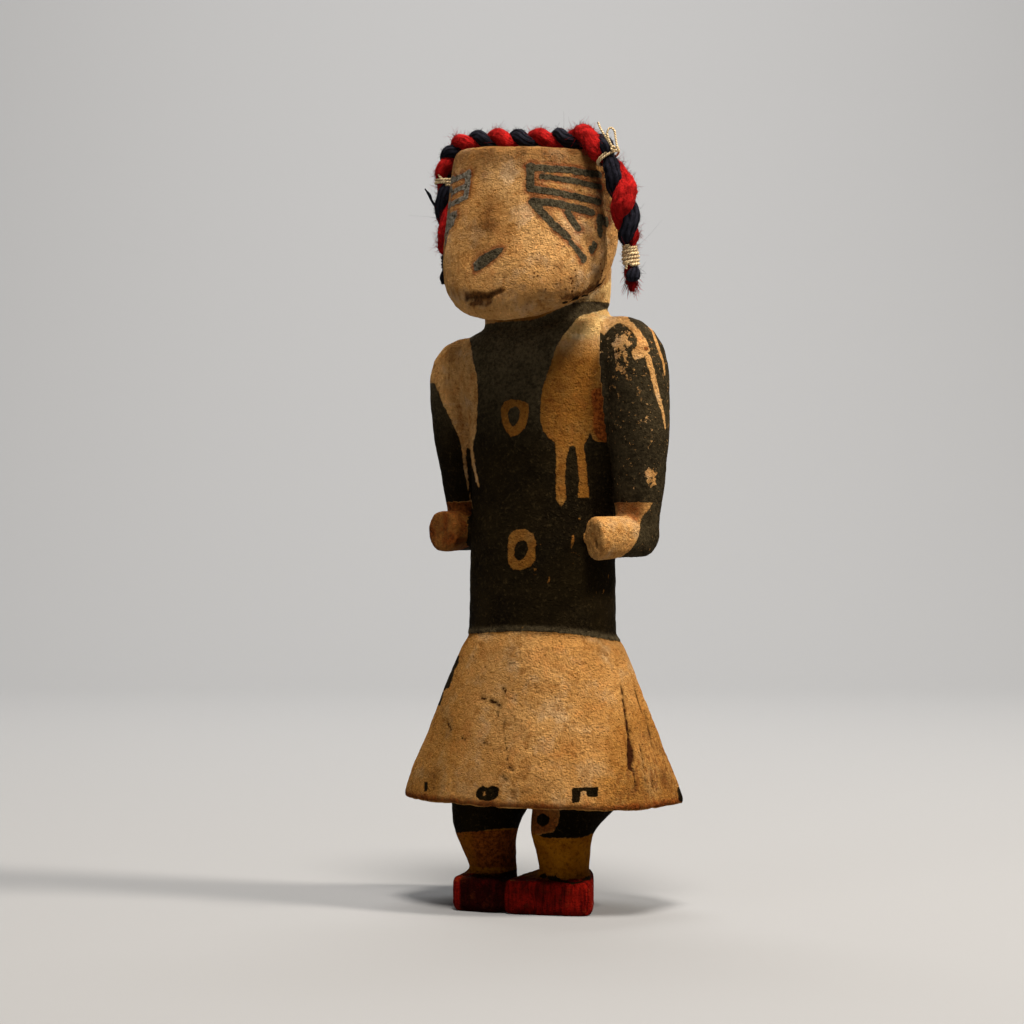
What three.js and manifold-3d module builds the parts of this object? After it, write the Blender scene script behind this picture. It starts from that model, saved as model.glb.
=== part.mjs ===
import * as THREE from 'three';
import { LoftGeometry } from 'three/addons/geometries/LoftGeometry.js';
import { mergeVertices } from 'three/addons/utils/BufferGeometryUtils.js';
import Module from 'manifold-3d';

// A kachina doll in millimetres. It faces -Y, its left hand is at +X, and its soles stand on Z = 0.
// Each form is a stack of level sections, and a section is an oval with these sizes:
// z height, x and y centre, a half width, b half depth, side the half width at which the oval is cut flat,
// power its squareness (2 is an ellipse), pitch and roll the rise of its plane along +Y and +X,
// and sag how much lower it hangs at its two sides than at its middle.
const SECTION_DEFAULTS = { x: 0, y: 0, side: 1000, power: 2, pitch: 0, roll: 0, sag: 0 };
const CHANNELS = ['x', 'y', 'a', 'b', 'side', 'power', 'pitch', 'roll', 'sag'];

// The helmet mask: its flat top leans to the doll's left, and its jaw rim drops towards the chin.
const HEAD = {
  segments: 36,
  steps: 2,
  sections: [
    { z: 213.6, x: 0.8, y: -6.5, a: 22.2, b: 17.6, pitch: 0.42, roll: -0.02, sag: -2.4 },
    { z: 214.6, x: 0.8, y: -8, a: 26.3, b: 21.4, pitch: 0.42, roll: -0.02, sag: -2.6 },
    { z: 218, x: 0.7, y: -9.1, a: 29, b: 23.9, pitch: 0.4, power: 2.1, roll: -0.02, sag: -2.2 },
    { z: 222.8, x: 0.6, y: -9.5, a: 30.4, b: 25.4, pitch: 0.3, power: 2.2, sag: -1.2 },
    { z: 231, x: 0.5, y: -8.2, a: 31.3, b: 25.6, pitch: 0.14, power: 2.25 },
    { z: 243, x: 0.3, y: -6, a: 31.5, b: 25.2, pitch: 0.05, power: 2.25 },
    { z: 255, x: 0.1, y: -4, a: 31.2, b: 24.8, power: 2.25 },
    { z: 261.4, y: -3, a: 30.7, b: 24.6, power: 2.2, roll: -0.03 },
    { z: 264.9, y: -2.6, a: 29.6, b: 24, power: 2.2, roll: -0.055 },
    { z: 266.3, y: -2.5, a: 27.8, b: 22.8, power: 2.2, roll: -0.055 },
    { z: 266.7, y: -2.5, a: 26.2, b: 21.4, power: 2.2, roll: -0.055 },
  ],
};

const NECK = {
  segments: 26,
  steps: 1,
  sections: [
    { z: 190, x: 1, y: 2, a: 24, b: 15.6 },
    { z: 200, x: 1, y: 2, a: 24, b: 16 },
    { z: 207, x: 1, y: 2, a: 23.6, b: 16.6 },
    { z: 211, x: 1, y: 2, a: 23.7, b: 17.4 },
    { z: 218, x: 0.8, y: 2, a: 24.6, b: 18.6 },
    { z: 226, x: 0.6, y: 1, a: 25.6, b: 20 },
  ],
};

// The shoulders slope: the doll's left one is higher and squarer than its right.
const TORSO = {
  segments: 36,
  steps: 2,
  sections: [
    { z: 92, x: 0.6, a: 27, b: 21.2, power: 2.2 },
    { z: 110, x: 0.6, a: 26.8, b: 21, power: 2.2 },
    { z: 130, x: 0.8, a: 26.7, b: 20.8, power: 2.2 },
    { z: 152, x: 1, y: 0.4, a: 26.8, b: 20.5, power: 2.2 },
    { z: 174, x: 0.4, y: 0.8, a: 28.4, b: 20.2, power: 2.2 },
    { z: 190, x: -1.2, y: 1.4, a: 32.2, b: 19.4, power: 2.25, roll: 0.03 },
    { z: 199.6, x: -0.4, y: 2, a: 32.4, b: 18, power: 2.3, roll: 0.08 },
    { z: 204.2, x: 0.6, y: 2.4, a: 29.8, b: 16.4, power: 2.3, roll: 0.09 },
    { z: 206.2, x: 1, y: 2.6, a: 25.5, b: 14, power: 2.2, roll: 0.08 },
  ],
};

// The upper arms, from the round elbow up to the dome of the shoulder.
const LEFT_ARM = {
  segments: 22,
  steps: 1,
  sections: [
    { z: 123.6, x: 36.8, y: 3.4, a: 3.4, b: 4 },
    { z: 125, x: 37, y: 3.6, a: 5.4, b: 6 },
    { z: 129, x: 36.8, y: 4, a: 7.4, b: 7.2 },
    { z: 137, x: 36.8, y: 4.4, a: 8, b: 7.6 },
    { z: 150, x: 37.8, y: 4.2, a: 9.1, b: 9 },
    { z: 164, x: 38.1, y: 3.8, a: 10.2, b: 10.4 },
    { z: 178, x: 38, y: 3.6, a: 10.6, b: 11.2 },
    { z: 189, x: 37.4, y: 3.4, a: 10.8, b: 11.4 },
    { z: 197, x: 36.2, y: 3.2, a: 10.4, b: 11 },
    { z: 202.6, x: 34, y: 3, a: 9, b: 9.4 },
    { z: 206, x: 31.8, y: 3, a: 6.8, b: 7.2 },
    { z: 207.6, x: 30, y: 3, a: 4, b: 4.4 },
  ],
};

const RIGHT_ARM = {
  segments: 22,
  steps: 1,
  sections: [
    { z: 125.6, x: -33, y: 3.4, a: 3.4, b: 4 },
    { z: 127, x: -33, y: 3.6, a: 5.4, b: 6 },
    { z: 131, x: -33.2, y: 4, a: 6.8, b: 7.2 },
    { z: 140, x: -33.6, y: 4.2, a: 7.4, b: 7.8 },
    { z: 152, x: -34.4, y: 4, a: 8.6, b: 9.2 },
    { z: 165, x: -34.6, y: 2.4, a: 10.2, b: 10.6 },
    { z: 178, x: -34.8, y: 1.8, a: 11.2, b: 11.4 },
    { z: 188, x: -34.8, y: 1.6, a: 11.2, b: 11.4 },
    { z: 194.4, x: -33.4, y: 1.4, a: 10.6, b: 11 },
    { z: 199, x: -31.4, y: 1.6, a: 8.8, b: 9.2 },
    { z: 201.6, x: -29.4, y: 1.8, a: 5.4, b: 5.8 },
  ],
};

// The forearm stubs run forward from the elbows and are sawn off at the fists.
// elbow and fist are their axis ends, and cut is the slant of the sawn face across the stub.
const FOREARM_RADII = [4.2, 6.6, 7.3, 7.3, 7.5];
const FOREARM_SHARES = [-0.3, -0.18, 0, 0.5, 1];
const FOREARM_SEGMENTS = 20;
const LEFT_FOREARM = { elbow: [37.2, 4, 131.2], fist: [31.8, -17.2, 130.2], cut: 0.4 };
const RIGHT_FOREARM = { elbow: [-33, 4, 133], fist: [-31, -16.8, 132.4], cut: 0.42 };

// The kilt flares to a hem that is cut flat at both sides.
const KILT = {
  segments: 46,
  steps: 2,
  sections: [
    { z: 37.4, y: 0.5, a: 54.4, b: 34.2, side: 48.8, sag: 0.3 },
    { z: 38.8, y: 0.5, a: 54.6, b: 34.4, side: 49, sag: 0.3 },
    { z: 58, x: 0.2, y: 0.4, a: 46.2, b: 30.6, side: 42.8, sag: 0.6 },
    { z: 78, x: 0.4, y: 0.2, a: 37.6, b: 26.6, side: 36.4, sag: 1 },
    { z: 89, x: 0.6, a: 32.6, b: 24.2, side: 32.4, sag: 1.2 },
    { z: 93.6, x: 0.6, a: 30.2, b: 23, side: 30.6, sag: 1.2 },
    { z: 96.2, x: 0.6, a: 27.6, b: 21.6, side: 30, sag: 1.2 },
  ],
};

// The legs bend at the knee, and their thighs run back under the kilt.
const LEFT_LEG = {
  segments: 24,
  steps: 2,
  sections: [
    { z: 8, x: 14.6, y: -8.6, a: 8.6, b: 8.6 },
    { z: 13.4, x: 15, y: -8.8, a: 8.6, b: 8.6 },
    { z: 21, x: 15.2, y: -10, a: 9.6, b: 9.4 },
    { z: 28, x: 15.4, y: -10.6, a: 11.2, b: 10.8 },
    { z: 32, x: 15.8, y: -7.6, a: 12.6, b: 13.8 },
    { z: 36, x: 16.4, y: -3.6, a: 13.8, b: 18 },
    { z: 42, x: 16.6, y: 0, a: 14.2, b: 21 },
  ],
};

const RIGHT_LEG = {
  segments: 24,
  steps: 2,
  sections: [
    { z: 8, x: -13.6, y: -9.4, a: 8.2, b: 8.4 },
    { z: 13.4, x: -14, y: -9.6, a: 8.2, b: 8.4 },
    { z: 21, x: -15, y: -11.2, a: 9.8, b: 9.6 },
    { z: 28, x: -15.4, y: -12.2, a: 11.6, b: 11 },
    { z: 32, x: -15.6, y: -10.4, a: 12.8, b: 13 },
    { z: 36, x: -15.8, y: -7, a: 13.4, b: 16.6 },
    { z: 42, x: -16, y: -3.4, a: 13.8, b: 19.6 },
  ],
};

// The block feet widen from the heel to the toe. toe is the middle of the front edge of the sole,
// yaw turns the foot about Z, heelShift moves its heel sideways, and the top rises to the ankle.
const FOOT_POWER = 6;
const FOOT_SEGMENTS = 28;
const FOOT_EDGE = 0.8;
const TOE_HEIGHT = 11.4;
const HEEL_HEIGHT = 13.8;
const LEFT_FOOT = {
  toe: [15.6, -22.9],
  toeWidth: 34.2,
  heelWidth: 17,
  length: 29.4,
  yaw: 18,
  heelShift: 2.2,
};
const RIGHT_FOOT = {
  toe: [-9.8, -28.4],
  toeWidth: 20.5,
  heelWidth: 15,
  length: 29.5,
  yaw: 6,
  heelShift: -4.6,
};

// The wool braid lies over the head from the doll's right side to its left and hangs down beside both cheeks.
const BRAID_DIAMETER = 7.2;
const BRAID_SIDES = 8;
const BRAID_STEPS = 42;
const BRAID_ROUTE = [
  [-36.6, -2.4, 220.5],
  [-36.8, -2.8, 228],
  [-37.2, -3.3, 236],
  [-37.6, -3.8, 244],
  [-37.8, -4.1, 252],
  [-37.7, -4.2, 259],
  [-36.8, -4.3, 264.5],
  [-34.6, -4.3, 268.2],
  [-31.2, -4.3, 270.8],
  [-26.8, -4.3, 272.1],
  [-18, -4.3, 271.7],
  [-9, -4.4, 271.2],
  [0, -4.6, 270.7],
  [9, -5.2, 270.2],
  [16, -6.9, 270],
  [21.6, -9.2, 269.8],
  [26.4, -11.5, 269],
  [30.5, -13.2, 267],
  [34, -14, 263.6],
  [36.7, -13.8, 259.4],
  [38.5, -13, 254.6],
  [39.8, -12, 249.4],
  [40.6, -11, 244],
  [41.1, -10.1, 238.4],
  [41.4, -9.4, 232.8],
  [41.6, -8.9, 227.2],
  [41.8, -8.5, 221.4],
  [41.9, -8.2, 215.4],
];

// The string ties and thread whippings are rings round the braid, placed by their share of its length.
const RING_CLEARANCE = 0.3;
const TIE_THICKNESS = 0.9;
const TIE_HEIGHT = 2.2;
const WHIPPING_THICKNESS = 0.6;
const WHIPPING_HEIGHT = 6;
const RING_SEGMENTS = 14;
const LEFT_TIE_SHARE = 0.725;
const RIGHT_TIE_SHARE = 0.22;
const LEFT_WHIPPING_SHARE = 0.928;
const RIGHT_WHIPPING_SHARE = 0.05;
// The bow of the left tie: one loop and one straight end that stand up in front of the braid.
const BOW_STRING = 1;
const BOW_SIDES = 6;
const BOW_LOOP_STEPS = 14;
const BOW_END_STEPS = 5;
const BOW_LOOP = [
  [0, 0, 0],
  [1.6, 0, 3.2],
  [3.4, 0, 6.4],
  [5.2, 0, 6.8],
  [5, 0, 4.4],
  [2.8, 0, 1.6],
  [0.4, 0, -0.4],
];
const BOW_END = [
  [0, 0, -0.6],
  [-0.8, -0.2, 3.4],
  [-2.2, -0.2, 8.4],
];

const COLOURS = {
  carved_figure: { color: 0x8a6647, roughness: 0.9, metalness: 0 },
  wool_braid: { color: 0x7d1218, roughness: 1, metalness: 0 },
  left_tie: { color: 0xd9c49a, roughness: 0.95, metalness: 0 },
  right_tie: { color: 0xcdb780, roughness: 0.95, metalness: 0 },
  left_whipping: { color: 0xd6bd92, roughness: 0.95, metalness: 0 },
  right_whipping: { color: 0x2b2a30, roughness: 0.95, metalness: 0 },
};

const MERGE_DISTANCE = 1e-4;
const wasm = await Module();
wasm.setup();

// Joining solids

function solid(geometry) {
  const bare = new THREE.BufferGeometry();
  bare.setAttribute('position', geometry.attributes.position);
  bare.setIndex(geometry.index);
  const merged = mergeVertices(bare, MERGE_DISTANCE);
  const mesh = new wasm.Mesh({
    numProp: 3,
    vertProperties: new Float32Array(merged.attributes.position.array),
    triVerts: new Uint32Array(merged.index.array),
  });
  return new wasm.Manifold(mesh);
}

function union(geometries) {
  return geometries.map(solid).reduce((whole, next) => whole.add(next));
}

function toGeometry(manifold) {
  const mesh = manifold.getMesh();
  const geometry = new THREE.BufferGeometry();
  geometry.setAttribute('position', new THREE.BufferAttribute(mesh.vertProperties, 3));
  geometry.setIndex(new THREE.BufferAttribute(mesh.triVerts, 1));
  geometry.computeVertexNormals();
  return geometry;
}

// Sections and forms

function oval(section, segments) {
  const points = [];
  for (let i = 0; i < segments; i++) {
    const turn = ((i + 0.5) / segments) * 2 * Math.PI;
    const across = Math.sign(Math.cos(turn)) * Math.abs(Math.cos(turn)) ** (2 / section.power);
    const along = Math.sign(Math.sin(turn)) * Math.abs(Math.sin(turn)) ** (2 / section.power);
    const dx = THREE.MathUtils.clamp(across * section.a, -section.side, section.side);
    const dy = along * section.b;
    const rise = dx * section.roll + dy * section.pitch - section.sag * (dx / section.a) ** 2;
    points.push(new THREE.Vector3(section.x + dx, section.y + dy, section.z + rise));
  }
  return points;
}

function between(sections, steps) {
  const full = sections.map((section) => ({ ...SECTION_DEFAULTS, ...section }));
  const heights = full.map((section) => section.z);
  const values = full.flatMap((section) => CHANNELS.map((channel) => section[channel]));
  const curve = new THREE.CubicInterpolant(heights, values, CHANNELS.length);
  const rows = [];
  for (let i = 0; i < full.length - 1; i++) {
    for (let k = 0; k < steps; k++) {
      rows.push(THREE.MathUtils.lerp(heights[i], heights[i + 1], k / steps));
    }
  }
  rows.push(heights[heights.length - 1]);
  return rows.map((z) => {
    const found = Array.from(curve.evaluate(z));
    return Object.fromEntries([['z', z], ...CHANNELS.map((channel, i) => [channel, found[i]])]);
  });
}

function form({ sections, steps, segments }) {
  const rings = between(sections, steps).map((section) => oval(section, segments));
  return new LoftGeometry(rings, { capStart: true, capEnd: true });
}

function forearm({ elbow, fist, cut }) {
  const start = new THREE.Vector3(...elbow);
  const axis = new THREE.Vector3(...fist).sub(start);
  const last = FOREARM_SHARES.length - 1;
  const rings = FOREARM_SHARES.map((share, i) => {
    const radius = FOREARM_RADII[i];
    const roll = i === last ? cut : 0;
    const section = { ...SECTION_DEFAULTS, z: share * axis.length(), a: radius, b: radius, power: 2.3, roll };
    return oval(section, FOREARM_SEGMENTS);
  });
  const ahead = axis.clone().normalize();
  const across = new THREE.Vector3(0, 0, 1).cross(ahead).normalize();
  const up = ahead.clone().cross(across);
  const place = new THREE.Matrix4().makeBasis(across, up, ahead).setPosition(start);
  return new LoftGeometry(rings, { capStart: true, capEnd: true }).applyMatrix4(place);
}

function foot({ toe, toeWidth, heelWidth, length, yaw, heelShift }) {
  const levels = [
    { height: 0, inset: FOOT_EDGE },
    { height: FOOT_EDGE, inset: 0 },
    { height: 1 - FOOT_EDGE / TOE_HEIGHT, inset: 0, ofTop: true },
    { height: 1, inset: FOOT_EDGE, ofTop: true },
  ];
  const half = length / 2;
  const rings = levels.map(({ height, inset, ofTop }) => {
    const section = { ...SECTION_DEFAULTS, z: 0, a: 1, b: half - inset, power: FOOT_POWER };
    return oval(section, FOOT_SEGMENTS).map((point) => {
      const share = (point.y + half) / length;
      const width = THREE.MathUtils.lerp(toeWidth, heelWidth, share) / 2 - inset;
      const top = THREE.MathUtils.lerp(TOE_HEIGHT, HEEL_HEIGHT, share);
      const across = point.x * width + share * heelShift;
      return new THREE.Vector3(across, point.y + half, ofTop ? height * top : height);
    });
  });
  const turn = new THREE.Matrix4().makeRotationZ(THREE.MathUtils.degToRad(yaw));
  turn.setPosition(toe[0], toe[1], 0);
  return new LoftGeometry(rings, { capStart: true, capEnd: true }).applyMatrix4(turn);
}

// The braid and what is tied round it

const route = new THREE.CatmullRomCurve3(BRAID_ROUTE.map((point) => new THREE.Vector3(...point)));

function circle(radius, sides) {
  const outline = new THREE.Shape();
  outline.setFromPoints(
    Array.from({ length: sides }, (_, i) => {
      const turn = ((i + 0.5) / sides) * 2 * Math.PI;
      return new THREE.Vector2(radius * Math.cos(turn), radius * Math.sin(turn));
    }),
  );
  return outline;
}

function tube(curve, diameter, sides, steps) {
  return new THREE.ExtrudeGeometry(circle(diameter / 2, sides), { steps, extrudePath: curve });
}

function cuff(thickness, height) {
  const inner = BRAID_DIAMETER / 2 + RING_CLEARANCE;
  const outer = inner + thickness;
  const profile = [
    new THREE.Vector2(inner, -height / 2),
    new THREE.Vector2(outer - thickness / 3, -height / 2),
    new THREE.Vector2(outer, -height / 4),
    new THREE.Vector2(outer, height / 4),
    new THREE.Vector2(outer - thickness / 3, height / 2),
    new THREE.Vector2(inner, height / 2),
    new THREE.Vector2(inner, -height / 2),
  ];
  return new THREE.LatheGeometry(profile, RING_SEGMENTS);
}

function placeOnBraid(mesh, share) {
  const along = route.getTangentAt(share);
  mesh.position.copy(route.getPointAt(share));
  mesh.quaternion.setFromUnitVectors(new THREE.Vector3(0, 1, 0), along);
  return mesh;
}

function curveThrough(points) {
  return new THREE.CatmullRomCurve3(points.map((point) => new THREE.Vector3(...point)));
}

// The bow is laid out in the doll's own axes, then turned into the frame of the tie that it springs from.
function bow(share) {
  const reach = BRAID_DIAMETER / 2 + RING_CLEARANCE + TIE_THICKNESS / 2;
  const along = route.getTangentAt(share);
  const outward = new THREE.Vector3(0.53, -0.85, 0);
  outward.addScaledVector(along, -outward.dot(along)).normalize();
  const middle = route.getPointAt(share);
  const root = middle.clone().addScaledVector(outward, reach);
  const turn = new THREE.Quaternion().setFromUnitVectors(new THREE.Vector3(0, 1, 0), along);
  const toTie = new THREE.Matrix4().makeRotationFromQuaternion(turn).setPosition(middle).invert();
  const strands = [
    tube(curveThrough(BOW_LOOP), BOW_STRING, BOW_SIDES, BOW_LOOP_STEPS),
    tube(curveThrough(BOW_END), BOW_STRING, BOW_SIDES, BOW_END_STEPS),
  ];
  return strands.map((strand) => strand.translate(root.x, root.y, root.z).applyMatrix4(toTie));
}

// The object

function piece(name, geometry) {
  const mesh = new THREE.Mesh(geometry, new THREE.MeshStandardMaterial(COLOURS[name]));
  mesh.name = name;
  return mesh;
}

const figure = union([
  form(TORSO),
  form(NECK),
  form(HEAD),
  form(LEFT_ARM),
  form(RIGHT_ARM),
  forearm(LEFT_FOREARM),
  forearm(RIGHT_FOREARM),
  form(KILT),
  form(LEFT_LEG),
  form(RIGHT_LEG),
  foot(LEFT_FOOT),
  foot(RIGHT_FOOT),
]);

const bowedTie = union([cuff(TIE_THICKNESS, TIE_HEIGHT), ...bow(LEFT_TIE_SHARE)]);
const plainTie = cuff(TIE_THICKNESS, TIE_HEIGHT);
const whipping = cuff(WHIPPING_THICKNESS, WHIPPING_HEIGHT);

const group = new THREE.Group();
group.add(piece('carved_figure', toGeometry(figure)));
group.add(piece('wool_braid', tube(route, BRAID_DIAMETER, BRAID_SIDES, BRAID_STEPS)));
group.add(placeOnBraid(piece('left_tie', toGeometry(bowedTie)), LEFT_TIE_SHARE));
group.add(placeOnBraid(piece('right_tie', plainTie), RIGHT_TIE_SHARE));
group.add(placeOnBraid(piece('left_whipping', whipping), LEFT_WHIPPING_SHARE));
group.add(placeOnBraid(piece('right_whipping', whipping), RIGHT_WHIPPING_SHARE));

export default group;
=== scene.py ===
import itertools
import math

import bpy
import numpy as np
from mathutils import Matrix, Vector
from mathutils.bvhtree import BVHTree


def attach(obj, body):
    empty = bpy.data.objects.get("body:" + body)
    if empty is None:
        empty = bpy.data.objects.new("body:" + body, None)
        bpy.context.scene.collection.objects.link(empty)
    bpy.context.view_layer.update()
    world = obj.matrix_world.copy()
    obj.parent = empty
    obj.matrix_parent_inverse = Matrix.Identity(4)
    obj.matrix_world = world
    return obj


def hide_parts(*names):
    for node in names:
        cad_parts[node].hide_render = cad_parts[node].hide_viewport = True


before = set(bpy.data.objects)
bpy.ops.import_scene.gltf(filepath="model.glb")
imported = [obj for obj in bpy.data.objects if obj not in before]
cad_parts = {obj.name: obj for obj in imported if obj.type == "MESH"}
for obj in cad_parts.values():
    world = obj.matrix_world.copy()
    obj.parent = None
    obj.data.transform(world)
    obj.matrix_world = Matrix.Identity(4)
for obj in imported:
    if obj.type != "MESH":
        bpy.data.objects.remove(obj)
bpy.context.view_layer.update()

# Lengths are metres unless a name ends in MM or mm, but the figure's regions, paint and relief are in mm.
# Painted marks are given as pixels of the 1024 pixel view that the camera takes, and are carried onto the
# figure along the camera's rays.

VIEW_TURN = math.radians(32)
VIEW_DISTANCE = 1.0
VIEW_HEIGHT = 0.1394
VIEW_SHIFT = 0.0103
FOCAL_PIXELS = 2817
IMAGE_PIXELS = 1024
SENSOR_MM = 36
PIXEL_MM = 0.355

TO_RIGHT = np.array([math.cos(VIEW_TURN), math.sin(VIEW_TURN), 0])
TO_CAMERA = np.array([math.sin(VIEW_TURN), -math.cos(VIEW_TURN), 0])
UP = np.array([0, 0, 1.0])
CAMERA_PLACE = TO_CAMERA * VIEW_DISTANCE - TO_RIGHT * VIEW_SHIFT + UP * VIEW_HEIGHT


def add_object(name, data):
    made = bpy.data.objects.new(name, data)
    bpy.context.scene.collection.objects.link(made)
    return made


def add_camera():
    data = bpy.data.cameras.new("camera")
    data.sensor_width = SENSOR_MM
    data.lens = SENSOR_MM * FOCAL_PIXELS / IMAGE_PIXELS
    data.clip_end = 20
    camera = add_object("camera", data)
    camera.location = CAMERA_PLACE
    camera.rotation_euler = (math.pi / 2, 0, VIEW_TURN)
    bpy.context.scene.camera = camera


add_camera()


def to_pixels(points):
    """Where points of the doll, in metres, fall in the camera's picture."""
    offset = points - CAMERA_PLACE
    depth = -(offset @ TO_CAMERA)
    across = IMAGE_PIXELS / 2 + FOCAL_PIXELS * (offset @ TO_RIGHT) / depth
    down = IMAGE_PIXELS / 2 - FOCAL_PIXELS * offset[:, 2] / depth
    return np.stack([across, down], 1)


def pixel_ray(pixel):
    across = (pixel[0] - IMAGE_PIXELS / 2) / FOCAL_PIXELS
    up = (IMAGE_PIXELS / 2 - pixel[1]) / FOCAL_PIXELS
    ray = -TO_CAMERA + TO_RIGHT * across + UP * up
    return Vector(CAMERA_PLACE), Vector(ray).normalized()


# Noise

def cell_value(cells, seed):
    """A fixed value from -1 to 1 for each whole-numbered cell."""
    x, y, z = (cells[..., i].astype(np.int64).astype(np.uint64) for i in range(3))
    mixed = x * np.uint64(374761393) + y * np.uint64(668265263) + z * np.uint64(2246822519)
    mixed = mixed + np.uint64(seed * 3266489917)
    mixed = (mixed ^ (mixed >> np.uint64(13))) * np.uint64(1274126177)
    mixed = mixed ^ (mixed >> np.uint64(16))
    return (mixed & np.uint64(0xFFFF)).astype(float) / 32767.5 - 1


def smooth_noise(points, size, seed):
    place = points / size
    cell = np.floor(place)
    share = place - cell
    share = share * share * share * (share * (share * 6 - 15) + 10)
    total = np.zeros(len(points))
    for corner in itertools.product((0, 1), repeat=3):
        weight = np.prod(np.where(corner, share, 1 - share), 1)
        total += weight * cell_value(cell + corner, seed)
    return total


def pit_distance(points, size, seed):
    """Distance to the nearest of points scattered one to a cell, as a share of the cell's size."""
    place = points / size
    cell = np.floor(place)
    nearest = np.full(len(points), 9.0)
    for corner in itertools.product((-1, 0, 1), repeat=3):
        home = cell + corner
        centre = home + 0.5 + 0.45 * np.stack([cell_value(home, seed + i) for i in range(3)], 1)
        nearest = np.minimum(nearest, np.linalg.norm(place - centre, axis=1))
    return nearest


def ease(low, high, values):
    """A smooth ramp from 0 at low to 1 at high, where low may be the greater."""
    share = np.clip((values - low) / (high - low), 0, 1)
    return share * share * (3 - 2 * share)


# Lines and tubes

def smooth_line(points, spacing):
    """A Catmull-Rom line through the points, resampled evenly."""
    points = np.array(points, float)
    padded = np.vstack([2 * points[0] - points[1], points, 2 * points[-1] - points[-2]])
    fine = []
    for i in range(len(points) - 1):
        a, b, c, d = padded[i : i + 4]
        for t in np.linspace(0, 1, 24, endpoint=False):
            bend = (2 * a - 5 * b + 4 * c - d) * t**2 + (3 * b - a - 3 * c + d) * t**3
            fine.append(0.5 * (2 * b + (c - a) * t + bend))
    fine.append(points[-1])
    return resample(np.array(fine), spacing)


def resample(line, spacing):
    run = run_along(line)
    count = max(2, int(round(run[-1] / spacing)) + 1)
    even = np.linspace(0, run[-1], count)
    return np.stack([np.interp(even, run, line[:, i]) for i in range(3)], 1)


def run_along(line):
    return np.concatenate([[0], np.cumsum(np.linalg.norm(np.diff(line, axis=0), axis=1))])


def unit(vectors):
    return vectors / np.maximum(np.linalg.norm(vectors, axis=-1, keepdims=True), 1e-12)


def axes_along(line, front):
    """Tangent, front and side directions at each point of a line, as near as can be to the given front."""
    tangent = unit(np.gradient(line, axis=0))
    front = np.broadcast_to(front, line.shape)
    ahead = unit(front - tangent * np.sum(front * tangent, 1, keepdims=True))
    return tangent, ahead, np.cross(tangent, ahead)


def around(angle, front, side):
    """Directions at angles from front towards side."""
    angle = np.asarray(angle)[..., None]
    return np.cos(angle) * front + np.sin(angle) * side


class MeshParts:
    """Collects tubes into one mesh, with a turn and a run value on every vertex."""

    def __init__(self):
        self.points, self.faces, self.turns, self.runs, self.slots = [], [], [], [], []
        self.count = 0

    def tube(self, line, radii, sides, front=(0.31, 0.2, 0.93), slot=0, scale=None):
        """A tube with a seam, shut with a flat face at both ends; scale multiplies each vertex's radius."""
        line = np.array(line, float)
        rings = len(line)
        radii = np.broadcast_to(radii, rings)
        _, ahead, side = axes_along(line, np.array(front, float))
        turn = np.linspace(0, 1, sides + 1)
        ring = around((turn * 2 * np.pi)[:, None], ahead, side)
        reach = radii if scale is None else radii * scale
        points = line + ring * np.broadcast_to(reach, (sides + 1, rings))[..., None]
        points[-1] = points[0]
        index = self.count + np.arange((sides + 1) * rings).reshape(sides + 1, rings)
        self.points.append(points.reshape(-1, 3))
        self.turns.append(np.repeat(turn, rings))
        self.runs.append(np.tile(run_along(line), sides + 1))
        a, b = index[:-1, :-1].ravel(), index[:-1, 1:].ravel()
        c, d = index[1:, 1:].ravel(), index[1:, :-1].ravel()
        self.faces.extend(np.stack([a, d, c, b], 1).tolist())
        self.slots.extend([slot] * len(a))
        self.faces.append(index[:-1, 0].tolist())
        self.faces.append(index[:-1, -1][::-1].tolist())
        self.slots.extend([slot, slot])
        self.count += (sides + 1) * rings

    def build(self, name, materials):
        mesh = bpy.data.meshes.new(name)
        mesh.from_pydata(np.concatenate(self.points).tolist(), [], self.faces)
        for key, values in (("turn", self.turns), ("run", self.runs)):
            store(mesh, key, np.concatenate(values))
        for material in materials:
            mesh.materials.append(material)
        mesh.polygons.foreach_set("material_index", self.slots)
        mesh.polygons.foreach_set("use_smooth", [True] * len(self.faces))
        mesh.update()
        return add_object(name, mesh)


def store(mesh, name, values):
    attribute = mesh.attributes.new(name, "FLOAT", "POINT")
    attribute.data.foreach_set("value", np.asarray(values, np.float32))


# Materials

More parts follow.
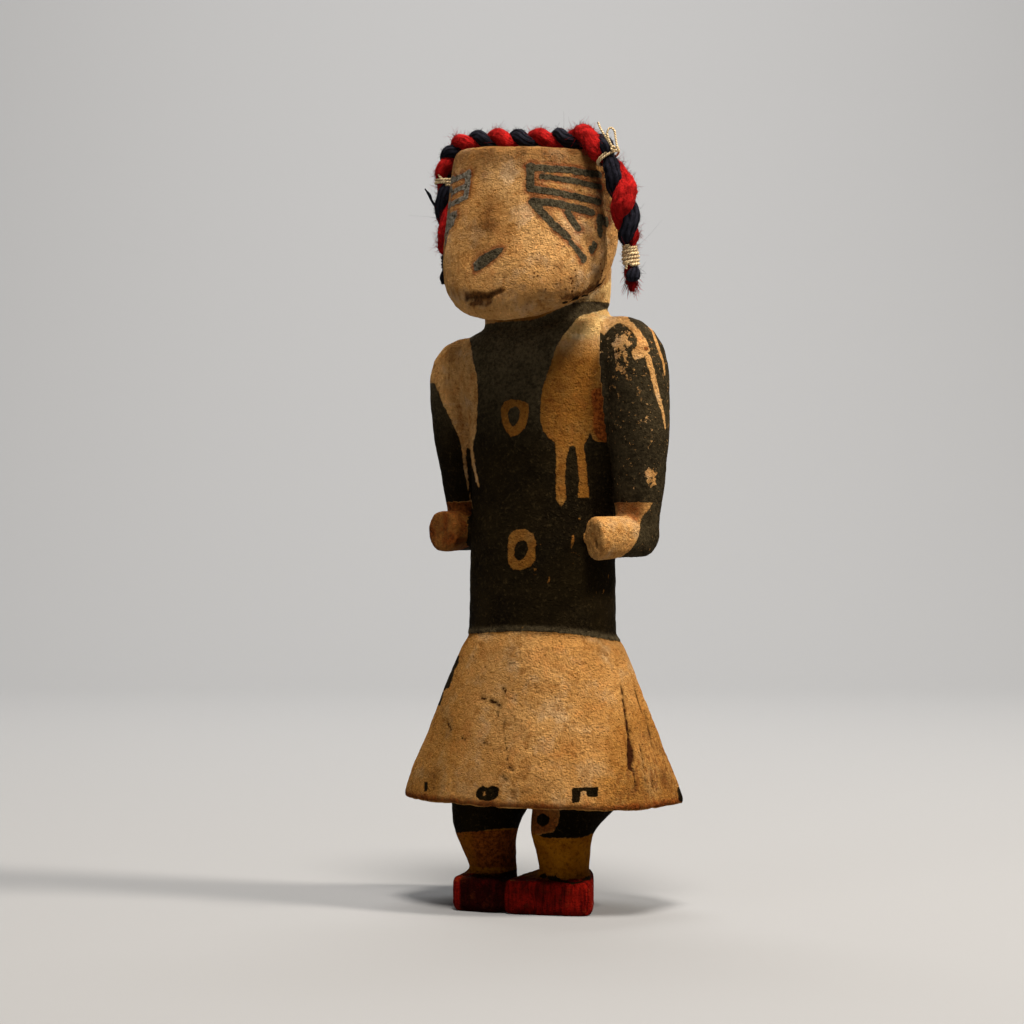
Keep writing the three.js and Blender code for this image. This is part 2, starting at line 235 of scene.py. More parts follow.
class Graph:
    """A material's node graph, built by small calls that return sockets."""

    def __init__(self, name):
        self.material = bpy.data.materials.new(name)
        self.material.use_nodes = True
        self.tree = self.material.node_tree
        self.shader = self.tree.nodes["Principled BSDF"]
        self.place = self.node("ShaderNodeTexCoord").outputs["Object"]

    def node(self, kind, inputs=None, **settings):
        """A new node, with values or sockets for its inputs by name or number."""
        made = self.tree.nodes.new(kind)
        for key, value in settings.items():
            setattr(made, key, value)
        for key, value in (inputs or {}).items():
            self.put(made.inputs[key], value)
        return made

    def put(self, socket, value):
        if isinstance(value, bpy.types.NodeSocket):
            self.tree.links.new(value, socket)
        elif isinstance(value, (tuple, list)) and socket.type == "RGBA":
            socket.default_value = (*value, 1)
        else:
            socket.default_value = value

    def math(self, operation, *values):
        return self.node("ShaderNodeMath", dict(enumerate(values)), operation=operation).outputs[0]

    def add(self, a, b):
        return self.math("ADD", a, b)

    def times(self, a, b):
        return self.math("MULTIPLY", a, b)

    def span(self, value, low, high, out_low=0.0, out_high=1.0):
        inputs = dict(enumerate((value, low, high, out_low, out_high)))
        return self.node("ShaderNodeMapRange", inputs, interpolation_type="SMOOTHSTEP").outputs[0]

    def mix(self, share, a, b, blend="MIX"):
        inputs = {"Factor": share, 6: a, 7: b}
        return self.node("ShaderNodeMix", inputs, data_type="RGBA", blend_type=blend).outputs[2]

    def tint(self, share, colour, factors):
        """The colour multiplied by factors, as far as share says."""
        return self.mix(share, colour, self.mix(1.0, colour, factors, "MULTIPLY"))

    def swayed(self, name, noise):
        """A stored value made uneven by a noise."""
        return self.add(self.value(name), self.times(self.add(noise, -0.5), 1.1))

    def within(self, name, edge, blur):
        """1 inside the area whose stored distance is negative, with an uneven, slightly blurred edge."""
        return self.span(self.add(self.value(name), edge), blur, -blur)

    def stretched(self, scale):
        return self.node("ShaderNodeMapping", {"Vector": self.place, "Scale": scale}).outputs[0]

    def noise(self, size_mm, detail=3.0, roughness=0.55, where=None, swirl=0.0):
        inputs = {"Vector": self.place if where is None else where, "Scale": 1000 / size_mm}
        inputs |= {"Detail": detail, "Roughness": roughness, "Distortion": swirl}
        return self.node("ShaderNodeTexNoise", inputs).outputs["Fac"]

    def cells(self, size_mm):
        inputs = {"Vector": self.place, "Scale": 1000 / size_mm}
        return self.node("ShaderNodeTexVoronoi", inputs).outputs["Distance"]

    def value(self, name):
        return self.node("ShaderNodeAttribute", attribute_name=name).outputs["Fac"]

    def bump(self, height, distance, strength):
        inputs = {"Strength": strength, "Distance": distance, "Height": height}
        self.put(self.shader.inputs["Normal"], self.node("ShaderNodeBump", inputs).outputs[0])

    def finish(self, colour, roughness, specular):
        self.put(self.shader.inputs["Base Color"], colour)
        self.put(self.shader.inputs["Roughness"], roughness)
        self.put(self.shader.inputs["Specular IOR Level"], specular)
        return self.material


def painted_wood():
    """Ground, black, face marks, reds and ochre in layers over one worn wooden surface."""
    g = Graph("painted_wood")
    broad = g.noise(20, 3)
    middle = g.noise(5, 4, 0.6)
    patchy = g.noise(9, 4, 0.6)
    # grit sets both the fine bump and the colour; where the colour is lighter on its raised points and
    # darker in its hollows, this is partly wear and partly painted highlight and shade
    grit = g.noise(1.25, 5, 0.68)
    fine = g.noise(0.6, 3, 0.65)
    grain = g.noise(1.2, 3, 0.6, g.stretched((1, 1, 0.14)))
    streaks = g.value("streaked")
    edge = g.times(g.add(g.noise(1.8, 5, 0.7), -0.5), 2.6)
    tone = g.value("pale")

    warm = g.mix(g.span(broad, 0.35, 0.65), (0.32, 0.141, 0.03), (0.41, 0.2, 0.053))
    pale = g.mix(g.span(broad, 0.35, 0.65), (0.47, 0.235, 0.072), (0.57, 0.315, 0.115))
    colour = g.mix(g.math("MAXIMUM", tone, 0.0), warm, pale)
    colour = g.mix(g.math("MAXIMUM", g.times(tone, -1.0), 0.0), colour, (0.13, 0.046, 0.003))
    colour = g.mix(g.span(tone, 1.0, 1.6), colour, (0.74, 0.47, 0.18))
    # Mottling; the grit rows make the raised points lighter and the hollows darker, partly as a painted
    # highlight and painted shade
    for noise, low, high, most, factors in (
        (middle, 0.52, 0.72, 0.6, (1.0, 0.82, 0.7)),
        (middle, 0.48, 0.3, 0.7, (0.66, 0.56, 0.45)),
        (patchy, 0.5, 0.68, 0.6, (1.0, 1.25, 2.0)),
        (patchy, 0.47, 0.32, 0.55, (0.92, 0.76, 0.62)),
        (grit, 0.52, 0.72, 1.0, (1.45, 1.5, 1.5)),
        (grit, 0.47, 0.28, 0.7, (0.42, 0.3, 0.2)),
    ):
        colour = g.tint(g.span(noise, low, high, 0.0, most), colour, factors)
    colour = g.mix(g.times(g.span(grain, 0.54, 0.34), g.times(streaks, 0.8)), colour, (0.15, 0.048, 0.01))
    specks = g.times(g.span(g.cells(1.9), 0.3, 0.12), g.span(middle, 0.42, 0.56))
    colour = g.mix(g.times(specks, g.value("speckled")), colour, (0.06, 0.018, 0.005))

    # Stains, with the painted shadows and shade that the same stored value carries
    stain = g.span(g.swayed("stain", middle), 0.15, 1.0)
    stain_and_shade_colour = g.mix(g.span(grit, 0.4, 0.62), (0.03, 0.008, 0.002), (0.13, 0.045, 0.01))
    colour = g.mix(g.times(stain, 0.88), colour, stain_and_shade_colour)

    ochre = g.within("ochre", edge, 0.3)
    ochre_colour = g.mix(g.span(middle, 0.35, 0.65), (0.2, 0.062, 0.0012), (0.28, 0.1, 0.004))
    ochre_colour = g.mix(g.span(grit, 0.52, 0.3, 0.0, 0.7), ochre_colour, (0.07, 0.02, 0.001))
    colour = g.mix(ochre, colour, ochre_colour)

    red = g.within("red", g.times(edge, 0.7), 0.3)
    red_colour = g.mix(g.span(grain, 0.3, 0.68), (0.05, 0.001, 0.0006), (0.21, 0.006, 0.0022))
    red_colour = g.mix(g.times(g.span(middle, 0.58, 0.74), 0.3), red_colour, (0.28, 0.05, 0.012))
    # Reds darkened by stains and by the painted shadow and shade on the feet
    red_colour = g.mix(g.times(stain, 0.95), red_colour, (0.006, 0.0005, 0.0003))
    colour = g.mix(red, colour, red_colour)
    rust = g.span(g.swayed("rust", middle), 0.25, 0.9)
    rusty = g.mix(g.span(grit, 0.38, 0.64), (0.055, 0.008, 0.001), (0.2, 0.046, 0.007))
    colour = g.mix(g.times(rust, 0.88), colour, rusty)

    flakes = g.times(g.add(g.noise(1.7, 5, 0.72), -0.5), 3.2)
    flakes = g.add(flakes, g.times(g.value("flaked"), 1.6))
    black = g.within("black", g.times(edge, 0.55), 0.2)
    black = g.times(black, g.span(flakes, 1.2, 1.05))
    soot = g.mix(g.span(broad, 0.36, 0.68), (0.0036, 0.002, 0.0004), (0.0095, 0.0056, 0.0014))
    # Lighter black on the grit's raised points: partly wear, partly a painted highlight
    soot = g.mix(g.span(grit, 0.53, 0.72, 0.0, 0.6), soot, (0.045, 0.029, 0.01))
    # Grey-brown dust on the black, which is also a painted sheen where the upper torso and the waist ledge
    # catch the light
    dust_and_sheen_share = g.span(g.add(grit, g.times(middle, 0.6)), 0.55, 1.0, 0.3, 1.0)
    dust_and_sheen_share = g.times(g.value("dusty"), dust_and_sheen_share)
    soot = g.mix(dust_and_sheen_share, soot, (0.092, 0.069, 0.036))
    colour = g.mix(black, colour, soot)

    halo = g.span(g.add(g.value("mark"), g.times(edge, 1.1)), 1.9, 0.2)
    halo = g.times(g.times(halo, 0.8), g.span(middle, 0.32, 0.56))
    colour = g.mix(halo, colour, (0.15, 0.032, 0.01))
    mark = g.within("mark", g.times(edge, 0.6), 0.22)
    mark = g.times(mark, g.span(flakes, 1.7, 1.45))
    mark_colour = g.mix(g.span(grit, 0.34, 0.66), (0.026, 0.02, 0.011), (0.085, 0.067, 0.038))
    mark_dust = g.times(g.value("dusty"), g.span(grit, 0.36, 0.6))
    mark_colour = g.mix(mark_dust, mark_colour, (0.24, 0.21, 0.165))
    colour = g.mix(mark, colour, mark_colour)

    # Darkened hollows and dents: partly dirt, partly painted shade
    colour = g.mix(g.value("cavity"), colour, g.mix(0.85, colour, (0.01, 0.005, 0.002)))
    crack = g.span(g.add(g.value("cracked"), g.times(edge, 0.45)), 0.12, -0.22)
    colour = g.mix(g.times(crack, 0.88), colour, (0.028, 0.007, 0.002))

    pits = g.span(g.cells(1.3), 0.36, 0.06, 0.0, -0.5)
    height = g.add(g.times(grit, 1.9), g.add(g.times(fine, 0.8), pits))
    height = g.add(height, g.times(g.times(grain, streaks), 0.9))
    height = g.times(height, g.add(g.times(g.math("MAXIMUM", black, red), -0.4), 1.0))
    height = g.add(height, g.times(black, 0.3))
    height = g.add(height, g.times(mark, 0.35))
    g.bump(height, 0.0009, 1.0)
    return g.finish(colour, 0.88, 0.02)


def wool(name, dark, light, lines):
    """Wool whose fibres run along the strand; lines is how many yarns show round it, or 0 for roving."""
    g = Graph(name)
    along = {0: g.times(g.value("turn"), 26.0), 1: g.times(g.value("run"), 420.0)}
    along = g.node("ShaderNodeCombineXYZ", along).outputs[0]
    fibres = g.noise(1000, 4, 0.7, along, swirl=0.8)
    fuzz = g.noise(0.6, 4, 0.75)
    clumps = g.noise(2.2, 3, 0.6)
    tone = g.add(g.add(g.times(fibres, 0.45), g.times(fuzz, 0.3)), g.times(clumps, 0.25))
    height = g.add(g.times(fibres, 1.0), g.times(fuzz, 0.9))
    if lines:
        lean = g.add(g.times(g.value("turn"), lines), g.times(g.value("run"), 40.0))
        yarns = g.math("ABSOLUTE", g.math("SINE", g.times(lean, math.pi)))
        tone = g.add(g.times(tone, 0.82), g.times(yarns, 0.15))
        height = g.add(height, g.times(yarns, 0.6))
    colour = g.mix(g.span(tone, 0.34, 0.64), dark, light)
    g.bump(height, 0.0007, 1.0)
    return g.finish(colour, 1.0, 0.05)


def string(name, dark, light):
    g = Graph(name)
    twist = g.math("SINE", g.add(g.times(g.value("turn"), 12.6), g.times(g.value("run"), 7000.0)))
    tone = g.add(g.times(twist, 0.22), g.noise(0.9, 3))
    colour = g.mix(g.span(tone, 0.2, 0.75), dark, light)
    g.bump(twist, 0.0002, 0.7)
    return g.finish(colour, 0.9, 0.15)


def plain(name, colour, roughness):
    return Graph(name).finish(colour, roughness, 0.2)


WOOL_RED = wool("wool_red", (0.1, 0.0025, 0.0025), (0.47, 0.012, 0.01), 0)
WOOL_DARK = wool("wool_dark", (0.0018, 0.0018, 0.003), (0.017, 0.0165, 0.024), 9)
STRING = string("cream_string", (0.3, 0.19, 0.08), (0.74, 0.56, 0.32))
DARK_THREAD = string("dark_thread", (0.004, 0.004, 0.006), (0.03, 0.028, 0.034))

# The wool braid: a free cord of two twisted strands, from the doll's right side over the head to its left

BRAID_ROUTE_MM = [
    (-36.6, -2.4, 220.5), (-36.8, -2.8, 228), (-37.2, -3.3, 236), (-37.6, -3.8, 244),
    (-37.8, -4.1, 252), (-37.7, -4.2, 259), (-36.8, -4.3, 264.5), (-34.6, -4.3, 268.2),
    (-31.2, -4.3, 270.8), (-26.8, -4.3, 272.1), (-18, -4.3, 271.7), (-9, -4.4, 271.2),
    (0, -4.6, 270.7), (9, -5.2, 270.2), (16, -6.9, 270), (21.6, -9.2, 269.8),
    (26.4, -11.5, 269), (30.5, -13.2, 267), (34, -14, 263.6), (36.7, -13.8, 259.4),
    (38.5, -13, 254.6), (39.8, -12, 249.4), (40.6, -11, 244), (41.1, -10.1, 238.4),
    (41.4, -9.4, 232.8), (41.6, -8.9, 227.2), (41.8, -8.5, 221.4), (41.9, -8.2, 215.4),
]
BRAID_SPACING = 0.0004
# Pixels along the braid, and how many half turns the red strand has made there
BRAID_PIXELS = [
    (446, 284), (445, 226), (444, 192), (447, 163), (454, 149), (467, 142), (487, 141), (507, 141),
    (527, 140), (549, 140), (568, 138), (591, 139), (610, 160), (616, 178), (620, 189), (623, 200),
    (626, 213), (628, 229), (630, 243), (631, 262), (632, 275),
]
HALF_TURNS = [*range(-1, 12), 11.25, 11.6, 12, 12.5, 13, 13.5, 14.2, 15]
RED_RADIUS = 0.0027
DARK_RADIUS = 0.0024
STRAND_OFFSET = 0.0017
LEFT_TIE_AT = 0.725
RIGHT_TIE_AT = 0.22
LEFT_WHIPPING = (0.908, 0.948)
RIGHT_WHIPPING = (0.03, 0.066)
# How full the two strands are along the braid, by share of its length
FULLNESS_AT = [0, 0.25, 0.62, 0.67, 0.75, 0.8, 0.86, 0.95, 0.97, 1]
RED_FULLNESS = [1, 1, 1, 1.24, 1.06, 1.42, 1.08, 0.92, 0.62, 0.36]
DARK_FULLNESS = [1, 1, 1, 1, 1.24, 1.08, 1.24, 1.05, 1.12, 1.1]

braid_line = smooth_line(np.array(BRAID_ROUTE_MM) / 1000, BRAID_SPACING)
braid_run = run_along(braid_line)
BRAID_LENGTH = braid_run[-1]
braid_share = braid_run / BRAID_LENGTH
braid_tangent, braid_front, braid_side = axes_along(braid_line, TO_CAMERA)


def braid_turns():
    pixels = to_pixels(braid_line)
    keys = [np.argmin(np.linalg.norm(pixels - np.array(key), axis=1)) for key in BRAID_PIXELS]
    turns = np.interp(np.arange(len(braid_line)), keys, HALF_TURNS)
    kernel = np.hanning(13)
    padded = np.pad(turns, 6, mode="edge")
    return np.convolve(padded, kernel / kernel.sum(), "valid") * math.pi


def pinched(share):
    """How much of its full thickness the braid keeps under the ties and whippings."""
    keep = np.ones_like(share)
    for at, low in ((LEFT_TIE_AT, 0.72), (RIGHT_TIE_AT, 0.78)):
        keep = np.minimum(keep, low + (1 - low) * ease(0.003, 0.022, np.abs(share - at)))
    for start, end in (LEFT_WHIPPING, RIGHT_WHIPPING):
        middle, half = (start + end) / 2, (end - start) / 2
        keep = np.minimum(keep, 0.5 + 0.5 * ease(half, half + 0.022, np.abs(share - middle)))
    return keep


TURNS = braid_turns()
KEEP = pinched(braid_share)


def strand(phase):
    out = around(TURNS + phase, braid_front, braid_side)
    return braid_line + out * STRAND_OFFSET * KEEP[:, None]


def strand_radius(full, fullness, seed, first, last):
    """The strand's radius along the braid, drawn in to a tip at its first and last share."""
    wobble = 1 + 0.08 * smooth_noise(braid_line * 1000 + seed * 31, 4.0, seed)
    tip = np.clip(np.minimum(braid_share - first, last - braid_share) / 0.015, 0, 1)
    rounding = np.sqrt(1 - (1 - tip) ** 2 * 0.97)
    return full * np.interp(braid_share, FULLNESS_AT, fullness) * KEEP * wobble * rounding


STRANDS = [
    {"phase": 0, "full": RED_RADIUS, "fullness": RED_FULLNESS, "ends": (0.006, 1.005)},
    {"phase": math.pi, "full": DARK_RADIUS, "fullness": DARK_FULLNESS, "ends": (0.0, 0.982)},
]
STRAND_SIDES = 40


def build_braid():
    parts = MeshParts()
    for slot, made in enumerate(STRANDS):
        first, last = made["ends"]
        line = strand(made["phase"])
        radius = strand_radius(made["full"], made["fullness"], 5 + slot, first, last)
        kept = np.flatnonzero((braid_share >= first) & (braid_share <= last))
        far = np.broadcast_to(braid_run[kept] * 1000, (STRAND_SIDES + 1, len(kept)))
        spin = np.broadcast_to(np.linspace(0, 2 * np.pi, STRAND_SIDES + 1)[:, None], far.shape)
        spots = np.stack([far * 0.7, 3 * np.cos(spin), 3 * np.sin(spin)], -1).reshape(-1, 3)
        lumps = 0.1 * smooth_noise(spots, 2.2, 20 + slot) + 0.08 * smooth_noise(spots, 0.9, 30 + slot)
        lumps += 0.05 * smooth_noise(spots, 0.45, 40 + slot)
        parts.tube(line[kept], radius[kept], STRAND_SIDES, TO_CAMERA, slot, 1 + lumps.reshape(far.shape))
    return parts.build("wool_braid_twist", [WOOL_RED, WOOL_DARK])


def hair(rng, start, out, along, length, bend, lift):
    """Points of one stray fibre that leaves the wool at start, lift being how far it stands out."""
    reach = unit(out * lift + along * rng.choice([-1, 1]) * rng.uniform(0.2, 1) + rng.normal(0, 0.25, 3))
    curl = unit(np.cross(reach, rng.normal(0, 1, 3)))
    step = np.linspace(0, 1, 6)[:, None]
    return start + reach * length * step + curl * length * bend * step**2


# Loose yarn ends at the doll's right: pixels, where along the braid they leave it, and thickness
STRAY_YARNS = [
    ([(437, 207), (433, 202), (429, 195), (425, 189)], 0.17, 0.00034),
    ([(449, 266), (445, 272), (442, 278), (443, 284)], 0.05, 0.0007),
]
# Fibres on the red and the dark strand, and the other loose wool
FUZZ_COUNTS = (7600, 4200)
LONG_HAIRS = 46
TIP_WISPS = 220
STRAY_BUNDLE = 9


def random_way(rng, first, last):
    """A random place along the braid, and a direction out of it there."""
    i = int(rng.integers(first, len(braid_line) - last))
    return i, around(rng.uniform(0, 2 * math.pi), braid_front[i], braid_side[i])


def build_fuzz():
    rng = np.random.default_rng(11)
    parts = MeshParts()
    for slot, (made, count) in enumerate(zip(STRANDS, FUZZ_COUNTS)):
        line = strand(made["phase"])
        radius = strand_radius(made["full"], made["fullness"], 5 + slot, *made["ends"])
        for _ in range(count):
            i, out = random_way(rng, 8, 14)
            length = 0.0005 + rng.gamma(2.0, 0.0005 if slot else 0.0007)
            root = line[i] + out * radius[i] * 0.97
            points = hair(rng, root, out, braid_tangent[i], length, rng.uniform(-0.8, 0.8), 0.55)
            parts.tube(points[::2], [0.00005, 0.00004, 0.00002], 3, slot=slot)
    for _ in range(LONG_HAIRS):
        i, out = random_way(rng, 12, 30)
        length = rng.uniform(0.003, 0.0085)
        root = braid_line[i] + out * 0.003
        points = hair(rng, root, out, braid_tangent[i], length, rng.uniform(-1.6, 1.6), 0.7)
        parts.tube(points, np.linspace(0.00003, 0.000015, 6), 3, slot=1)
    tip = braid_line[int(0.972 * (len(braid_line) - 1))]
    for _ in range(TIP_WISPS):
        spread = rng.normal(0, 0.0008, 3) * (1, 1, 1.2)
        fall = np.array([rng.normal(0, 0.0012), rng.normal(0, 0.0012), -rng.uniform(0.001, 0.006)])
        bend = rng.normal(0, 0.0006, 3)
        step = np.linspace(0, 1, 5)[:, None]
        parts.tube(tip + spread + fall * step + bend * step**2, np.linspace(0.00013, 0.00004, 5), 3)
    for stray, at, thick in STRAY_YARNS:
        root = braid_line[int(at * (len(braid_line) - 1))]
        for _ in range(STRAY_BUNDLE):
            points = []
            for n, pixel in enumerate(stray):
                origin, ray = pixel_ray(pixel)
                far = (Vector(root) - origin).dot(ray)
                points.append(np.array(origin + ray * far) + rng.normal(0, thick, 3) * (1 - n / 4))
            line = smooth_line(points, 0.0004)
            parts.tube(line, np.linspace(thick, thick / 2, len(line)), 5, slot=1)
    return parts.build("wool_fuzz", [WOOL_RED, WOOL_DARK])


def coil(centre_share, turns, height, radius, wander, seed):
    """A thread wound round the braid at a share of its length."""
    rng = np.random.default_rng(seed)
    steps = int(turns * 18)
    spin = np.linspace(0, turns * 2 * math.pi, steps)
    middle = int(round(centre_share * (len(braid_line) - 1)))
    offset = np.linspace(-height / 2, height / 2, steps) + rng.normal(0, wander, steps).cumsum() * 0.15
    base = braid_line[middle] + braid_tangent[middle] * offset[:, None]
    ring = around(spin, braid_front[middle], braid_side[middle])
    out = radius * (1 + 0.03 * np.sin(spin * 2.3 + seed))
    return base + ring * out[:, None]


def tie_front(share, reach):
    middle = int(round(share * (len(braid_line) - 1)))
    return braid_line[middle] + braid_front[middle] * reach


def build_left_tie():
    parts = MeshParts()
    ring = coil(LEFT_TIE_AT, turns=1.6, height=0.0012, radius=0.0041, wander=0.00001, seed=3)
    parts.tube(ring, 0.0004, 8)
    knot = tie_front(LEFT_TIE_AT, 0.0045) + TO_RIGHT * 0.002 + UP * 0.0018
    # The bow's strings, in mm to the right of the knot and up from it
    loop = [(0, 0), (-1.5, 3.0), (-2.0, 5.6), (-0.9, 7.0), (0.4, 6.0), (0.8, 3.6)]
    loop += [(1.2, 1.2), (1.6, -0.4), (0.6, -0.8)]
    straight = [(0, -0.3), (-1.9, 3.0), (-4.0, 6.2), (-5.2, 9.0)]
    short = [(0.2, 0.1), (1.5, 0.3), (2.0, -0.8)]
    for path, lean in ((loop, 0.0008), (straight, -0.0004), (short, 0.0004)):
        flat = [knot + (TO_RIGHT * x + UP * z) / 1000 for x, z in path]
        points = [place + TO_CAMERA * lean * i / len(path) for i, place in enumerate(flat)]
        parts.tube(smooth_line(points, 0.0004), 0.00036, 8)
    turn = np.linspace(0, 2.6 * 2 * math.pi, 40)
    depth = np.linspace(-0.0004, 0.0005, 40)[:, None]
    parts.tube(knot + around(turn, TO_RIGHT, UP) * 0.0006 + TO_CAMERA * depth, 0.0004, 8)
    return parts.build("left_tie_string", [STRING])


def build_right_tie():
    parts = MeshParts()
    ring = coil(RIGHT_TIE_AT, turns=2.4, height=0.0024, radius=0.0036, wander=0.00002, seed=4)
    parts.tube(ring, 0.00048, 8)
    knot = tie_front(RIGHT_TIE_AT, 0.0037)
    end = [knot, knot + np.array([-0.0014, -0.0004, 0.001]), knot + np.array([-0.0024, -0.0006, 0.0026])]
    parts.tube(smooth_line(end, 0.0005), 0.0005, 8)
    return parts.build("right_tie_string", [STRING])


def build_whipping(name, span, radius, material, seed, turns=8):
    parts = MeshParts()
    height = (span[1] - span[0]) * BRAID_LENGTH
    thread = height / turns * 0.6
    middle = sum(span) / 2
    line = coil(middle, turns, height, radius, 0.00004, seed)
    parts.tube(line, thread, 7)
    over = coil(middle + 0.004, turns * 0.5, height * 0.7, radius + thread * 0.7, 0.0001, seed + 20)
    parts.tube(over, thread, 7)
    last = line[-1]
    bend = last + TO_CAMERA * 0.0006 - TO_RIGHT * 0.0014 + UP * 0.001
    loose = [last, bend, last - TO_RIGHT * 0.0018 - UP * 0.0012]
    parts.tube(smooth_line(loose, 0.0004), thread * 0.8, 6)
    return parts.build(name, [material])


braid = build_braid()
fuzz = build_fuzz()
left_tie = build_left_tie()
right_tie = build_right_tie()
left_whipping = build_whipping("left_whipping_thread", LEFT_WHIPPING, 0.0023, STRING, seed=6)
right_whipping = build_whipping("right_whipping_thread", RIGHT_WHIPPING, 0.0024, DARK_THREAD, seed=7)

for piece, node, slot in (
    (braid, "wool_braid", "wool"),
    (fuzz, "wool_braid", "wool"),
    (left_tie, "left_tie", "string"),
    (right_tie, "right_tie", "string"),
    (left_whipping, "left_whipping", "string"),
    (right_whipping, "right_whipping", "dark_thread"),
):
    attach(piece, "root")
    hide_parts(node)

# The carved figure: the solid's own form, remeshed finely, softened and worked over

VOXEL = 0.00096
SMOOTHING_ROUNDS = 9


def fine_copy():
    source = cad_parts["carved_figure"]
    piece = add_object("painted_figure", source.data.copy())
    remesh = piece.modifiers.new("voxels", "REMESH")
    remesh.mode = "VOXEL"
    remesh.voxel_size = VOXEL
    graph = bpy.context.evaluated_depsgraph_get()
    mesh = bpy.data.meshes.new_from_object(piece.evaluated_get(graph))
    piece.modifiers.clear()
    piece.data = mesh
    mesh.materials.clear()
    return piece


figure = fine_copy()
mesh = figure.data
COUNT = len(mesh.vertices)
edges = np.empty(len(mesh.edges) * 2, np.int64)
mesh.edges.foreach_get("vertices", edges)
edges = edges.reshape(-1, 2)
DEGREE = np.bincount(edges.ravel(), minlength=COUNT)


def read_vectors(items, name):
    flat = np.empty(COUNT * 3, np.float32)
    items.foreach_get(name, flat)
    return flat.reshape(-1, 3).astype(float)


def write_points(points):
    mesh.vertices.foreach_set("co", points.ravel())
    mesh.update()


def neighbours(values):
    """The mean of the values at the vertices next to each vertex."""
    total = np.zeros_like(values)
    for i in range(values.shape[1]):
        total[:, i] = np.bincount(edges[:, 0], values[edges[:, 1], i], COUNT)
        total[:, i] += np.bincount(edges[:, 1], values[edges[:, 0], i], COUNT)
    return total / DEGREE[:, None]


points = read_vectors(mesh.vertices, "co")
for _ in range(SMOOTHING_ROUNDS):
    points = points + 0.55 * (neighbours(points) - points)
    points = points - 0.5 * (neighbours(points) - points)
for _ in range(2):
    points = points + 0.5 * (neighbours(points) - points)
write_points(points)
normals = read_vectors(mesh.vertex_normals, "vector")

MM = points * 1000
X, Y, Z = MM.T
PIXELS = to_pixels(points)
FACING = normals @ TO_CAMERA
SURFACE = BVHTree.FromPolygons(
    [Vector(p) for p in points], [list(polygon.vertices) for polygon in mesh.polygons]
)

# Which part of the figure each vertex is on, from its place in mm

FOOT_HEIGHT = 11.6
FEET_BELOW = 16
LEGS_BLACK_FROM = 27.2
KILT_FROM = 35
HEM_HEIGHT = 37.2
WAIST_BAND_BELOW = 103
ARMS_FROM = 118
FISTS_BELOW = 143
SHOULDERS_FROM = 160
JAW = Z - (213.4 + 0.42 * (Y + 7) + 2.4 * (X / 26) ** 2)
ACROSS = (MM @ TO_RIGHT) / 27
WAIST = 97.8 - 0.95 * ACROSS - 2.9 * ACROSS**2
BODY = (Z > WAIST) & (JAW < 0)
OUT_OF_TORSO = (np.abs((X - 0.8) / 26.8) ** 2.2 + np.abs((Y - 0.2) / 20.8) ** 2.2) ** (1 / 2.2) > 1.045
LOW_ARM = BODY & OUT_OF_TORSO & (Z > ARMS_FROM) & (Z < SHOULDERS_FROM)
HIGH = BODY & (Z >= SHOULDERS_FROM)
ON_LEFT_ARM = (LOW_ARM & (X > 0)) | (HIGH & (X > 28.4))
ON_RIGHT_ARM = (LOW_ARM & (X < 0)) | (HIGH & (X < -28.6))
ON_TORSO = BODY & ~ON_LEFT_ARM & ~ON_RIGHT_ARM
LEFT_FIST = ON_LEFT_ARM & (Z < FISTS_BELOW)
RIGHT_FIST = ON_RIGHT_ARM & (Z < FISTS_BELOW)
WAIST_BAND = BODY & (Z < WAIST_BAND_BELOW)
ON_FEET = Z < FEET_BELOW
IS_HEAD = JAW > -0.5
UNDER_KILT = (normals[:, 2] < -0.75) & (Z > 34) & (Z < 39)
ON_LEGS = (Z <= KILT_FROM) | ((Z < 38.5) & ((X / 49) ** 2 + (Y / 35) ** 2 < 0.7))
ON_KILT = (Z <= WAIST) & ~UNDER_KILT & ~ON_LEGS
FRONT = FACING > -0.12
FAR = 30.0


def rough(size, seed):
    """Smooth noise over the figure, in lumps of a size in mm."""
    return smooth_noise(MM, size, seed)


def seen(pixels):
    """Points on the figure, in mm, that the camera sees at the given pixels, or the nearest to them."""
    found = []
    for pixel in pixels:
        origin, ray = pixel_ray(pixel)
        hit = SURFACE.ray_cast(origin, ray)[0]
        if hit is None:
            hit = SURFACE.find_nearest(origin + ray * VIEW_DISTANCE)[0]
        found.append(np.array(hit) * 1000)
    return np.array(found)


def stroke(line, widths):
    """Distance outside a painted line through points of the figure; widths are mm, or one for all."""
    widths = np.broadcast_to(np.array(widths, float), len(line))
    best = np.full(COUNT, FAR)
    for a, b, wide_a, wide_b in zip(line[:-1], line[1:], widths[:-1], widths[1:]):
        step = b - a
        share = np.clip(((MM - a) @ step) / max(step @ step, 1e-9), 0, 1)
        away = np.linalg.norm(MM - a - share[:, None] * step, axis=1)
        best = np.minimum(best, away - (wide_a + share * (wide_b - wide_a)) / 2)
    return best


def drawn(pixels, widths):
    """A painted line given by the pixels it passes."""
    close = []
    for a, b in itertools.pairwise(pixels):
        count = max(2, int(math.hypot(b[0] - a[0], b[1] - a[1]) / 6) + 1)
        close += [tuple(p) for p in np.linspace(a, b, count, endpoint=False)]
    close.append(pixels[-1])
    if np.ndim(widths):
        at = np.linspace(0, 1, len(widths))
        widths = np.interp(np.linspace(0, 1, len(close)), at, widths)
    return stroke(seen(close), widths)


def spot(pixel, width):
    centre = seen([pixel])[0]
    return np.linalg.norm(MM - centre, axis=1) - width / 2


